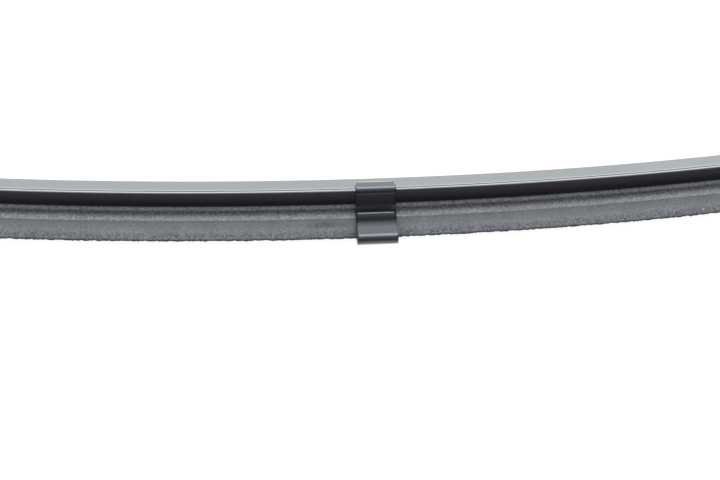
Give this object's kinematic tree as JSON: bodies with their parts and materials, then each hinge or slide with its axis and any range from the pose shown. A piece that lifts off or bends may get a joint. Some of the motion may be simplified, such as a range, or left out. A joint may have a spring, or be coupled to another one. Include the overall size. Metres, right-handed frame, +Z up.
{
  "type": "door window wiper strip",
  "caption": "Bowed flocked rubber strip in a black painted metal rail, with folded spring clips that hook it to a car door's sill to wipe the window glass.",
  "frame": {"origin": "throat of the middle clip's hook, half way between the clip's leg and its tongue", "axes": "+X along the strip, -Y towards the clip side, +Z up, the way the door's flange leaves the hook"},
  "size_m": [0.581, 0.0871, 0.0161],
  "materials": {
    "rail_paint": "satin black paint",
    "flocked_rubber": "short grey flock",
    "clip_paint": "satin black coating"
  },
  "bodies": {
    "root": {"rail": "rail_paint", "wiper_strip": "flocked_rubber", "clip_1": "clip_paint", "clip_2": "clip_paint", "clip_3": "clip_paint", "clip_4": "clip_paint", "clip_5": "clip_paint"}
  },
  "joints": []
}
